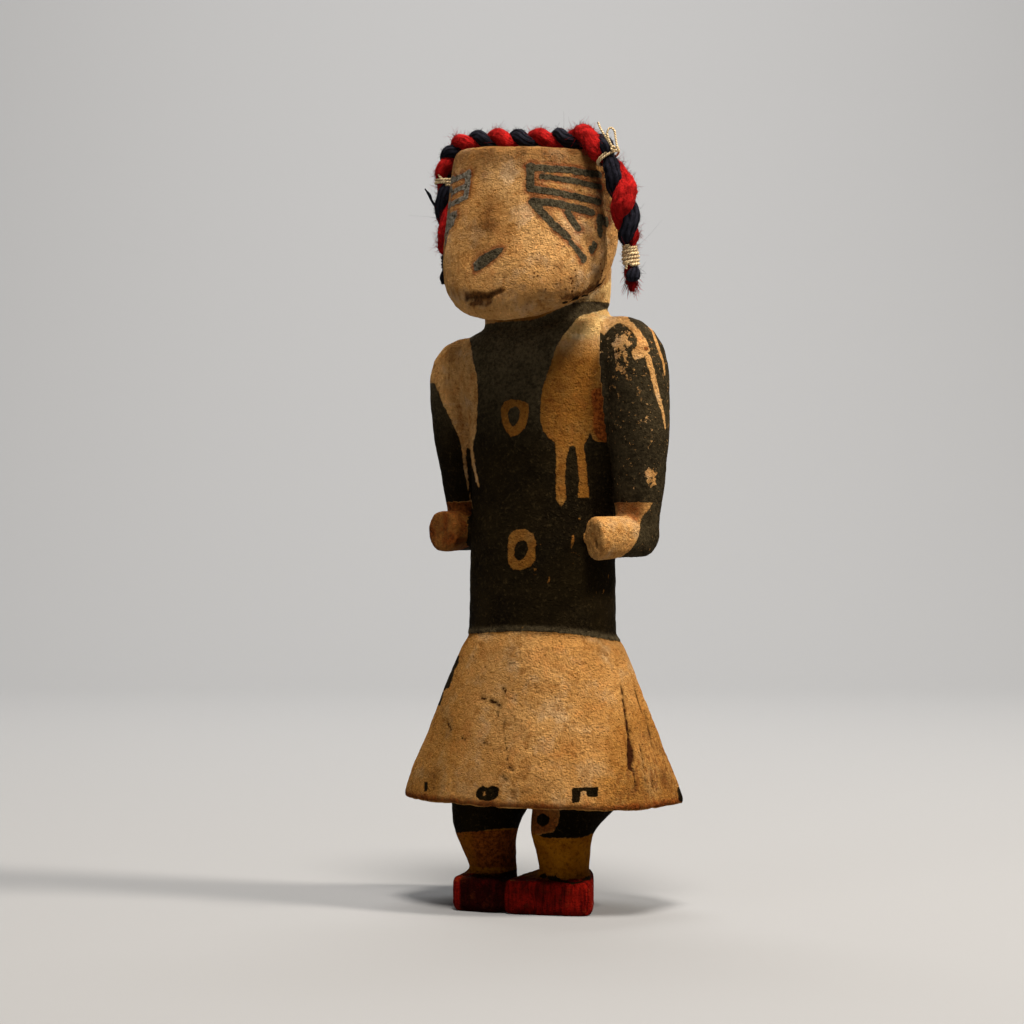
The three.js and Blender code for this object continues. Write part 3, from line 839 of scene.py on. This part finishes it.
def filled(outline, where):
    """Distance outside a painted patch whose outline is given in pixels, on the given vertices."""
    outline = np.array(outline, float)
    near = np.full(COUNT, 1e4)
    inside = np.zeros(COUNT, bool)
    for a, b in zip(outline, np.roll(outline, -1, 0)):
        step = b - a
        share = np.clip(((PIXELS - a) @ step) / (step @ step), 0, 1)
        near = np.minimum(near, np.linalg.norm(PIXELS - a - share[:, None] * step, axis=1))
        crosses = (a[1] > PIXELS[:, 1]) != (b[1] > PIXELS[:, 1])
        if a[1] != b[1]:
            at = a[0] + (PIXELS[:, 1] - a[1]) * step[0] / step[1]
            inside ^= crosses & (PIXELS[:, 0] < at)
    distance = np.where(inside, -near, near) * PIXEL_MM
    return np.where(where & FRONT, np.clip(distance, -FAR, FAR), FAR)


def either(*fields):
    return np.minimum.reduce(fields)


def without(field, *holes):
    return np.maximum(field, -either(*holes))


def mirrored(line):
    return line * np.array([-1, 1, 1])


# Face marks: lines as their pixels and width in mm, spots as their pixel and width

EYE_LINES = [
    ([(530, 166), (530, 187)], 3.0), ([(529, 167), (562, 169), (600, 175)], 2.5),
    ([(541, 176), (570, 180), (600, 187)], 2.1), ([(529, 188), (560, 193), (599, 202)], 2.5),
    ([(532, 201), (556, 203), (592, 212)], 2.8), ([(534, 204), (552, 223), (568, 237)], 2.7),
    ([(571, 242), (578, 251), (584, 258)], 2.1), ([(568, 213), (578, 228)], 2.5),
]
MOUTH = [
    (473, 264), (479, 256), (488, 252), (497, 248), (503, 247), (503, 251), (497, 258), (489, 264),
    (481, 270), (475, 272),
]
CHEEK_SPOTS = [
    (600, 219, 4.6), (606, 222, 3.4), (600, 232, 3.4), (594, 244, 3.4), (592, 249, 2.8), (584, 258, 2.8),
]
RIGHT_EYE_LINES = [
    ([(468.5, 173), (467.5, 184), (466, 196)], 3.0), ([(469, 174), (460, 177), (451, 181)], 2.1),
    ([(467, 186), (457, 190), (448, 195)], 2.0), ([(466, 197), (456, 202), (447, 206)], 2.1),
]
RIGHT_CHEEK = [(458, 210), (450, 213), (445, 226), (444, 238), (452, 227), (457, 215)]
# Along the jaw's lower edge: partly black paint, partly a painted shadow under the jaw
JAW_MARKS = [
    ([(574, 299), (587, 295)], 1.0), ([(586, 295), (594, 290), (600, 285)], 2.0),
    ([(563, 303), (574, 300)], 0.7),
]

mark = either(*[filled(outline, IS_HEAD) for outline in (MOUTH, RIGHT_CHEEK)])
mark = either(mark, *[drawn(*line) for line in RIGHT_EYE_LINES])
for pixels, width in EYE_LINES:
    close = [tuple(p) for a, b in itertools.pairwise(pixels) for p in np.linspace(a, b, 7)]
    line = seen(close)
    other_eye = np.where(FACING < 0.3, stroke(mirrored(line), width), FAR)
    mark = either(mark, stroke(line, width), other_eye)
for *pixel, width in CHEEK_SPOTS:
    mark = either(mark, spot(pixel, width) + 0.7 * rough(1.8, 33))

# Black body paint, with the chest patches, rings and stripes left open

LEFT_PATCH = [
    (580, 316), (564, 334), (556, 348), (551, 364), (544, 384), (541, 400), (540, 418), (543, 430),
    (549, 439), (555, 442), (556, 460), (556, 480), (556, 499), (561, 508), (566, 499), (565, 480),
    (566, 460), (569, 448), (572, 445), (575, 447), (577, 458), (579, 480), (578, 498), (589, 498),
    (587, 476), (585, 456), (583, 446), (588, 438), (590, 433), (594, 441), (616, 444), (640, 420),
    (640, 330), (622, 305),
]
RIGHT_PATCH = [
    (469, 336), (473, 358), (477, 376), (478, 394), (478, 412), (477, 428), (475, 438), (473, 447),
    (475, 464), (478, 478), (479, 488), (476, 482), (472, 464), (470, 449), (467, 447), (466, 455),
    (468, 478), (472, 509), (469, 495), (464, 470), (461, 443), (456, 430), (450, 418), (444, 406),
    (439, 394), (435, 383), (420, 383), (420, 330), (460, 325),
]
UPPER_RING = [
    (504, 402), (511, 399), (520, 400), (529, 404), (528, 418), (525, 428), (517, 435), (511, 437),
    (505, 430), (501, 417), (501, 408),
]
UPPER_HOLE = [
    (511, 408), (516, 406), (520, 411), (519, 420), (515, 426), (512, 427), (508, 420), (508, 412),
]
LOWER_RING = [
    (509, 535), (515, 530), (524, 529), (533, 533), (536, 542), (535, 551), (535, 560), (531, 566),
    (521, 570), (513, 570), (508, 563), (507, 549),
]
LOWER_HOLE = [
    (517, 542), (523, 540), (527, 543), (528, 550), (524, 558), (519, 561), (514, 557), (514, 549),
]
SHOULDER_TOP = [(600, 308), (627, 314), (629, 321), (617, 324), (610, 329), (604, 336), (598, 330)]
SHOULDER_PINK = [
    (616, 322), (629, 320), (638, 329), (647, 341), (650, 350), (643, 358), (634, 360), (631, 352),
    (637, 346), (637, 340), (632, 331), (624, 325),
]
# Stripes as their pixels and widths in mm; worn spots as pixel, reach in mm and how far the black is gone
ARM_STRIPES = [
    ([(648, 357), (653, 374), (657, 392), (662, 409), (665, 428)], [2.2, 2.1, 1.9, 1.6, 1.0]),
    (
        [(638, 318), (646, 322), (653, 332), (658, 346), (663, 361), (665, 374)],
        [1.6, 1.8, 1.8, 1.7, 1.5, 1.2],
    ),
]
ARM_WORN = [
    (648, 418, 2.6, 0.62), (640, 421, 2.0, 0.55), (656, 414, 2.0, 0.5), (651, 474, 3.2, 0.85),
    (652, 482, 2.6, 0.8), (633, 463, 1.3, 0.6), (640, 467, 1.0, 0.6), (621, 368, 3.4, 0.72),
    (627, 363, 2.4, 0.65), (637, 370, 2.4, 0.5), (622, 344, 5.2, 0.82), (620, 352, 4.0, 0.8),
    (626, 336, 3.0, 0.75), (632, 378, 2.4, 0.5), (611, 400, 2.0, 0.42), (656, 500, 3.0, 0.45),
    (626, 500, 4.0, 0.45), (640, 510, 4.0, 0.5), (660, 440, 2.0, 0.4),
]
# Bare specks and scratches in the black, with widths in mm
BODY_SPECKS = [
    (579, 519, 1.0), (558, 555, 0.9), (535, 570, 1.7), (535, 575, 1.5), (549, 580, 1.1), (531, 588, 0.9),
    (516, 612, 0.8), (522, 614, 0.9), (523, 627, 0.9), (577, 554, 0.8), (573, 563, 0.7), (514, 458, 0.7),
    (526, 428, 0.8), (540, 545, 1.0), (532, 596, 0.7), (560, 470, 0.6), (500, 520, 0.6), (602, 556, 0.8),
]
BODY_SCRATCHES = [
    ([(573, 535), (572, 552)], 0.8), ([(608, 575), (609, 582)], 0.9), ([(597, 592), (594, 598)], 0.9),
    ([(549, 577), (548, 583)], 0.7), ([(573, 553), (580, 555)], 0.5), ([(605, 588), (603, 594)], 0.5),
]

back_patch = np.hypot(np.abs(X - 1) - 24, (Z - 196) / 1.5) - 13 + 1.5 * rough(9, 41)
back_patch = np.where(ON_TORSO & (Y > 2) & ~FRONT, back_patch, FAR)
patches = either(filled(LEFT_PATCH, ON_TORSO), filled(RIGHT_PATCH, ON_TORSO | ON_RIGHT_ARM), back_patch)
rings = either(
    without(filled(UPPER_RING, ON_TORSO), filled(UPPER_HOLE, ON_TORSO)),
    without(filled(LOWER_RING, ON_TORSO), filled(LOWER_HOLE, ON_TORSO)),
)
arm_paint = either(*[filled(outline, ON_LEFT_ARM) for outline in (SHOULDER_TOP, SHOULDER_PINK)])
for pixels, widths in ARM_STRIPES:
    arm_paint = either(arm_paint, np.where(ON_LEFT_ARM, drawn(pixels, widths), FAR))
crumbs = rough(1.5, 43)
specks = either(*[spot(pixel, 0.55 * width) for *pixel, width in BODY_SPECKS])
specks = either(specks, *[drawn(pixels, 0.55 * width) for pixels, width in BODY_SCRATCHES]) + 0.3 * crumbs

NECK_TOP = 206.4 + 6.6 * ease(3, 24, X)
body_black = np.maximum(np.where(Z < WAIST_BAND_BELOW, WAIST - Z, -FAR), Z - NECK_TOP)
body_black = np.maximum(body_black, JAW + 0.8)
left_fist = np.where(LEFT_FIST, -(Y + 2.2) + 0.5 * (Z - 136), -FAR)
right_fist = np.where(RIGHT_FIST, -(Y - 1.0) + 0.6 * (Z - 139), -FAR)
body_black = np.maximum(body_black, np.maximum(left_fist, right_fist))
body_black = without(body_black, patches, rings, arm_paint, specks)
jaw_black = either(*[drawn(*line) for line in JAW_MARKS]) + 0.9 * rough(1.3, 45)

KNEE_PATCH = [(530, 806), (559, 806), (559, 822), (553, 832), (541, 834), (530, 834)]
KNEE_DOT = [(537, 816), (543, 813), (549, 817), (549, 824), (543, 827), (537, 823)]
leg_line = LEGS_BLACK_FROM + 0.9 * rough(8, 51) + np.where(X < 0, 0.09 * (X + 14), 0.0)
leg_black = np.where(ON_LEGS, leg_line - Z, FAR)
knee = filled(KNEE_PATCH, ON_LEGS)
leg_black = without(leg_black, without(knee, filled(KNEE_DOT, ON_LEGS)))

KILT_MARKS = [
    [
        (477, 789), (483, 786), (488, 788), (494, 785), (499, 788), (499, 798), (490, 801), (479, 800),
        (476, 796),
    ],
    [(572, 788), (598, 787), (598, 797), (587, 797), (586, 791), (580, 792), (580, 803), (572, 803)],
    [(424, 782), (428, 782), (428, 792), (424, 792)],
    [(677, 787), (683, 787), (683, 803), (679, 803)],
    [
        (450, 660), (459, 655), (458, 663), (454, 670), (453, 676), (449, 687), (444, 690), (440, 705),
        (434, 705),
    ],
    [(420, 730), (426, 730), (424, 740), (418, 740)],
]
KILT_FLECKS = [
    [(483, 792), (487, 791), (486, 796), (483, 796)], [(490, 794), (493, 793), (493, 796)],
]
kilt_black = either(*[filled(outline, ON_KILT) for outline in KILT_MARKS])
kilt_black = without(kilt_black, *[filled(outline, ON_KILT) for outline in KILT_FLECKS])
# Squares at the back of the hem, by their degrees round the kilt
BACK_SQUARES = (40, 90, 140)
BACK_SQUARE_HEIGHT = 43.5
turn_back = np.degrees(np.arctan2(Y, X))
for place in BACK_SQUARES:
    square = np.maximum(np.abs(turn_back - place) * 0.55 - 3.4, np.abs(Z - BACK_SQUARE_HEIGHT) - 2.6)
    kilt_black = either(kilt_black, np.where(ON_KILT & (Y > 5), square, FAR))

ANKLE_LINE = [(541, 876), (551, 878), (561, 881), (573, 883), (583, 881), (592, 877)]
drips = 0.9 * smooth_noise(MM * np.array([1, 1, 0.3]), 1.1, 61)
ankle = np.where(ON_LEGS, drawn(ANKLE_LINE, 1.6) + drips, FAR)

black = either(body_black, leg_black, kilt_black, ankle, jaw_black)

# Reds, ochre, stains, painted shade and tone

ochre = np.where(ON_LEGS & (Z > FOOT_HEIGHT), Z - leg_line, FAR)
foot_top = FOOT_HEIGHT + 0.05 * (Y + np.where(X > 2, 22, 28))
red = np.where(ON_FEET, Z - foot_top - 0.3, FAR)
ochre = np.maximum(ochre, np.where(ON_FEET, foot_top - Z, -FAR))

RUST_ZONE = [(592, 391), (601, 387), (609, 402), (614, 420), (614, 442), (600, 441), (594, 432), (593, 412)]
SHOULDER_REDS = [
    (641, 325, 0.9), (646, 349, 1.8), (640, 352, 1.0),
]


def soft(field, reach):
    """1 inside a patch, falling to 0 at reach mm outside it."""
    return ease(reach, -0.5 * reach, field)


def raised(values, where, to):
    """The values, raised to another where that is more, on some of the vertices."""
    return np.maximum(values, np.where(where, to, 0))


rust = soft(filled(RUST_ZONE, ON_TORSO), 1.6)
for *pixel, width in SHOULDER_REDS:
    rust = np.maximum(rust, soft(spot(pixel, width) + 0.4 * crumbs, 0.6))
rust = raised(rust, RIGHT_FIST, 0.66 + 0.25 * ease(-11, -2, Y))
rust = raised(rust, LEFT_FIST, 0.75 * np.exp(-(((Y + 3) / 2.4) ** 2)) * ease(131, 139, Z))
rust = raised(rust, ON_LEGS & (X < 0) & (Z < 28), 0.58 + 0.4 * ease(-19, -9, X))
rust = raised(rust, ON_KILT, 0.82 * ease(42.5, 38, Z))
rust = raised(rust, ON_LEGS, 0.8 * soft(knee, 1.0))
rust = np.where(Z < 14, np.minimum(rust, 0.25), rust)

# Dark spots: pixel, reach in mm and strength. The first five are a painted shadow of the braid on the side
# of the face; the rest are smudges.
SMUDGES = [
    (603, 176, 4.5, 0.8), (606, 190, 5, 1.0), (608, 205, 5, 1.0), (609, 220, 4, 0.8), (611, 240, 3.5, 0.6),
    (487, 208, 7, 0.55), (484, 224, 8, 0.7), (479, 242, 7, 0.5), (468, 232, 7, 0.4), (490, 160, 9, 0.45),
    (466, 160, 8, 0.5), (478, 152, 8, 0.5), (515, 152, 9, 0.4), (545, 156, 8, 0.35), (580, 158, 8, 0.45),
    (545, 262, 5, 0.45), (560, 268, 5, 0.5), (575, 276, 5, 0.55), (562, 290, 6, 0.6), (580, 280, 6, 0.6),
    (595, 277, 5, 0.6), (600, 296, 5, 0.7), (530, 296, 7, 0.35), (590, 240, 6, 0.4), (454, 290, 6, 0.45),
    (664, 777, 5, 0.6), (640, 790, 7, 0.45), (648, 730, 7, 0.4), (436, 775, 7, 0.5), (450, 735, 8, 0.35),
    (470, 778, 7, 0.35), (520, 735, 8, 0.2), (650, 690, 6, 0.3), (660, 750, 6, 0.4), (672, 790, 6, 0.5),
    (470, 372, 4, 0.45), (466, 398, 5, 0.4), (570, 355, 6, 0.5), (582, 352, 5, 0.5), (558, 428, 4, 0.35),
    (568, 345, 5, 0.4), (596, 345, 5, 0.35), (443, 352, 5, 0.25), (619, 345, 4, 0.4), (580, 405, 5, 0.25),
]
CHIN_STREAKS = [
    (
        [(467, 298), (474, 297), (483, 298), (490, 296), (498, 292), (506, 289)],
        [1.4, 2.4, 2.6, 2.0, 1.8, 0.8],
    ),
    ([(470, 303), (477, 304), (486, 304), (493, 301)], [0.8, 2.0, 1.8, 0.6]),
    ([(562, 299), (574, 296), (585, 292), (595, 287), (604, 280)], [0.6, 1.6, 2.2, 2.4, 1.2]),
]
# Smudges, streaks and painted shade, kept together as one darkening
stain = np.zeros(COUNT)
for *pixel, width, strength in SMUDGES:
    stain = np.maximum(stain, strength * np.exp(-((spot(pixel, 0) / width) ** 2)))
for pixels, widths in CHIN_STREAKS:
    field = drawn(pixels, widths) + 1.1 * rough(2.6, 63) + 0.5 * rough(1.0, 64)
    stain = np.maximum(stain, 1.15 * soft(field, 1.4))
# Darker towards the head's lower edge: partly soot, partly painted shade under the chin
stain = raised(stain, IS_HEAD, 0.3 * ease(4, 0, JAW))
stain = raised(stain, IS_HEAD, 0.7 * ease(247, 265, Z))
# Painted shadow on the right foot's inner side and front, where the left foot blocks the light, and painted
# shade on the left foot's front face
stain = raised(stain, ON_FEET & (X < 1), 1.05 * ease(-16.8, -14.8, X))
stain = raised(stain, ON_FEET & (X >= 1), 0.55 * ease(27, 20, X))
stain = raised(stain, RIGHT_FIST, 0.35)

pale = np.where(ON_KILT, 0.4, 0.0) + np.where(IS_HEAD, 0.8, 0.0)
# Kilt: darker, streaky paint on the doll's left side, and painted shade on its right side, which is turned
# from the key light
pale = np.where(ON_KILT, pale - 0.75 * ease(33, 45, X) - 0.85 * ease(-10, -29, X), pale)
pale = np.where(LEFT_FIST, 0.35, pale)
pale = np.where(RIGHT_FIST, -0.3, pale)
# Torso: deep brown patches, partly painted shade under the head, and a painted pool of light on top of the
# left shoulder
pale = np.where(ON_TORSO, -0.72 + 2.4 * ease(190, 203, Z) * ease(8, 19, X), pale)
pale = np.where(ON_TORSO & (Z > 140), pale + (1.05 - pale) * ease(-8, -15, X), pale)
pale = np.where(ON_LEFT_ARM & (Z > FISTS_BELOW), 0.95, pale)
pale = np.where(ON_RIGHT_ARM & (Z > FISTS_BELOW), 0.7, pale)

flaked = np.where(ON_LEFT_ARM, 0.4 + 0.06 * ease(150, 190, Z), 0.0)
for *pixel, width, worn in ARM_WORN:
    flaked = raised(flaked, ON_LEFT_ARM, worn * np.exp(-((spot(pixel, 0) / width) ** 4)))
flaked = np.where(ON_TORSO, 0.06 + 0.08 * ease(150, 105, Z), flaked)
# Dust on the black, rising up the torso as a painted sheen where it is lit from above, and taken away near
# the left arm as a painted shadow of the arm
dusty = (0.04 + 0.85 * ease(158, 198, Z)) * (1 - 0.9 * ease(25, 30, X))
dusty = np.where(BODY, dusty, 0.0)
dusty = np.where(IS_HEAD & FRONT, 0.75 * ease(482, 466, PIXELS[:, 0]), dusty)
# A painted highlight on the ledge at the waist, where it catches the light
dusty = raised(dusty, WAIST_BAND, 0.8 * ease(2.6, 1, Z - WAIST))
dusty = raised(dusty, ON_LEFT_ARM, 0.35)
speckled = np.where(IS_HEAD, 0.35, np.where(ON_KILT, 0.5, 0.45))
cheek = np.exp(-(((PIXELS[:, 0] - 575) / 45) ** 2) - ((PIXELS[:, 1] - 272) / 30) ** 2)
speckled += np.where(IS_HEAD & FRONT, 1.1 * cheek, 0)
streaked = np.where(ON_KILT, 0.1 + 0.9 * ease(37, 45, X), 0.25)
streaked = np.where(ON_FEET, 0.8, streaked)
streaked = np.where(RIGHT_FIST, 0.6, streaked)

# Relief: knife work, pits, cracks, chips and worn edges, in mm along the surface

relief = 0.22 * rough(17, 1) + 0.14 * rough(7, 2)
relief += 0.09 * rough(3.2, 3)
relief += np.where(IS_HEAD, 0.1, 0.06) * rough(1.9, 4)
pitted = np.where(IS_HEAD, 0.22, np.where(ON_KILT, 0.15, 0.08))
pitted = np.where(LEFT_FIST & (Y < -3), 0.4, pitted)
relief -= pitted * ease(0.5, 0.18, pit_distance(MM, 3.4, 71))
kilt_grain = smooth_noise(MM * np.array([1, 1, 0.12]), 2.6, 81)
relief += np.where(ON_KILT, (0.1 + 0.22 * ease(36, 44, X)) * kilt_grain, 0)
# Cracks, nicks and pits: pixels, width and depth in mm
CRACKS = [
    ([(630, 733), (632, 750), (631, 768)], [1.6, 3.2, 1.6], 1.3),
    ([(624, 700), (627, 720), (630, 737)], 1.0, 0.6), ([(636, 690), (642, 712)], 0.8, 0.4),
    ([(645, 712), (650, 730), (653, 748)], 0.7, 0.4), ([(641, 748), (644, 770), (645, 785)], 0.6, 0.35),
    ([(634, 770), (637, 790)], 0.7, 0.4), ([(622, 686), (624, 697)], 0.8, 0.5),
    ([(511, 662), (509, 680)], 0.5, 0.25), ([(503, 716), (505, 738), (508, 760)], 0.5, 0.25),
    ([(490, 701), (496, 703), (500, 707)], 1.1, 0.5), ([(447, 722), (451, 730)], 0.8, 0.4),
    ([(462, 738), (466, 741)], 0.7, 0.35), ([(483, 742), (487, 744)], 0.7, 0.35),
    ([(536, 692), (548, 695), (556, 698)], 0.4, 0.2), ([(497, 712), (498, 716)], 0.8, 0.4),
    ([(480, 697), (486, 700)], 0.9, 0.5), ([(493, 702), (499, 706)], 0.9, 0.45),
    ([(503, 688), (505, 692)], 1.0, 0.5), ([(508, 766), (513, 770)], 1.0, 0.5),
    ([(503, 776), (506, 779)], 1.0, 0.4), ([(660, 735), (662, 741)], 0.9, 0.5),
    ([(653, 778), (653, 788)], 0.9, 0.4),
    ([(574, 304), (580, 301), (588, 300), (598, 302), (605, 306), (609, 310)], 0.9, 0.6),
    ([(466, 300), (476, 298), (488, 297), (500, 291)], 1.2, 0.35), ([(595, 540), (596, 544)], 1.4, 1.4),
]
scar = np.zeros(COUNT)
cracked = np.full(COUNT, FAR)
for pixels, width, depth in CRACKS:
    field = drawn(pixels, width) + 0.25 * rough(1.6, 91)
    cracked = np.where(ON_KILT, np.minimum(cracked, field), FAR)
    dent = ease(0.55, -0.3, field)
    relief -= depth * dent
    scar = np.maximum(scar, dent * min(1.0, depth * 1.6))
ledge = ease(2.8, 0.6, Z - WAIST) * (WAIST_BAND & (Z > WAIST + 0.2))
relief += 0.4 * ledge
hem = ease(2.2, 0, np.abs(Z - HEM_HEIGHT)) * (ON_KILT | UNDER_KILT)
relief -= hem * 0.5 * ease(0.1, 0.7, rough(4.5, 95))
sole = ease(3, 0.6, Z) * (normals[:, 2] > -0.8)
relief -= sole * 0.55 * ease(0.0, 0.7, rough(4, 97))
relief = np.where((normals[:, 2] < -0.8) & (Z < 0.6), 0, relief)
points = points + normals * (relief / 1000)[:, None]
points[:, 2] = np.maximum(points[:, 2], 0.00002)
write_points(points)
normals = read_vectors(mesh.vertex_normals, "vector")

# Darkening in hollows and dents, partly dirt and partly painted shade
hollow = np.sum((neighbours(points) - points) * normals, 1)[:, None] * 1000
for _ in range(3):
    hollow = neighbours(hollow)
cavity = np.maximum(ease(0.015, 0.16, hollow[:, 0]), scar)

mesh.materials.append(painted_wood())
mesh.polygons.foreach_set("use_smooth", [True] * len(mesh.polygons))
for name, values in (
    ("mark", mark), ("black", black), ("ochre", ochre), ("red", red), ("rust", rust), ("stain", stain),
    ("pale", pale), ("flaked", flaked), ("speckled", speckled), ("streaked", streaked), ("dusty", dusty),
    ("cavity", cavity), ("cracked", cracked),
):
    store(mesh, name, values)
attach(figure, "root")
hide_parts("carved_figure")

# Floor, backdrop and light


def from_view(right, towards, up):
    """A place given from the camera's side: to its right, towards it, and up from the floor."""
    return TO_RIGHT * right + TO_CAMERA * towards + UP * up


def build_sweep():
    """A pale floor that curves up into a backdrop behind the doll."""
    bends = np.linspace(0.1, math.pi / 2, 14)
    profile = [(-3.0, 0.0), (1.2, 0.0)]
    profile += [(1.2 + 0.9 * math.sin(t), 0.9 - 0.9 * math.cos(t)) for t in bends]
    profile.append((2.1, 3.5))
    rows = [[from_view(side, -back, up) for back, up in profile] for side in (-4.0, 4.0)]
    count = len(profile)
    mesh = bpy.data.meshes.new("sweep")
    faces = [(i, i + 1, count + i + 1, count + i) for i in range(count - 1)]
    mesh.from_pydata([tuple(p) for row in rows for p in row], [], faces)
    mesh.polygons.foreach_set("use_smooth", [True] * len(faces))
    mesh.materials.append(plain("pale_floor", (0.22, 0.219, 0.218), 0.9))
    sweep = add_object("sweep", mesh)


def add_light(name, place, target, size, power, colour=(1, 1, 1)):
    data = bpy.data.lights.new(name, "AREA")
    data.shape = "DISK"
    data.size = size
    data.energy = power
    data.color = colour
    light = add_object(name, data)
    light.location = place
    light.rotation_euler = (Vector(target) - Vector(place)).to_track_quat("-Z", "Y").to_euler()


build_sweep()
CHEST = UP * 0.15
UPPER_CHEST = UP * 0.16
add_light("key", from_view(1.02, 0.36, 1.2), CHEST, size=0.24, power=34, colour=(1, 0.93, 0.84))
add_light("top", from_view(0.08, 0.5, 1.52), CHEST, size=0.42, power=37, colour=(1, 0.95, 0.89))
add_light("fill", from_view(-0.8, 0.8, 0.6), UPPER_CHEST, size=0.5, power=1.8, colour=(1, 0.97, 0.95))
add_light("backdrop", from_view(0, -0.9, 1.6), from_view(0, -2.0, 0.3), size=1.2, power=52)
world = bpy.data.worlds.new("studio")
bpy.context.scene.world = world
world.use_nodes = True
surround = world.node_tree.nodes["Background"].inputs
surround["Color"].default_value = (0.9, 0.93, 1, 1)
surround["Strength"].default_value = 0.015
bpy.context.scene.view_settings.view_transform = "Standard"
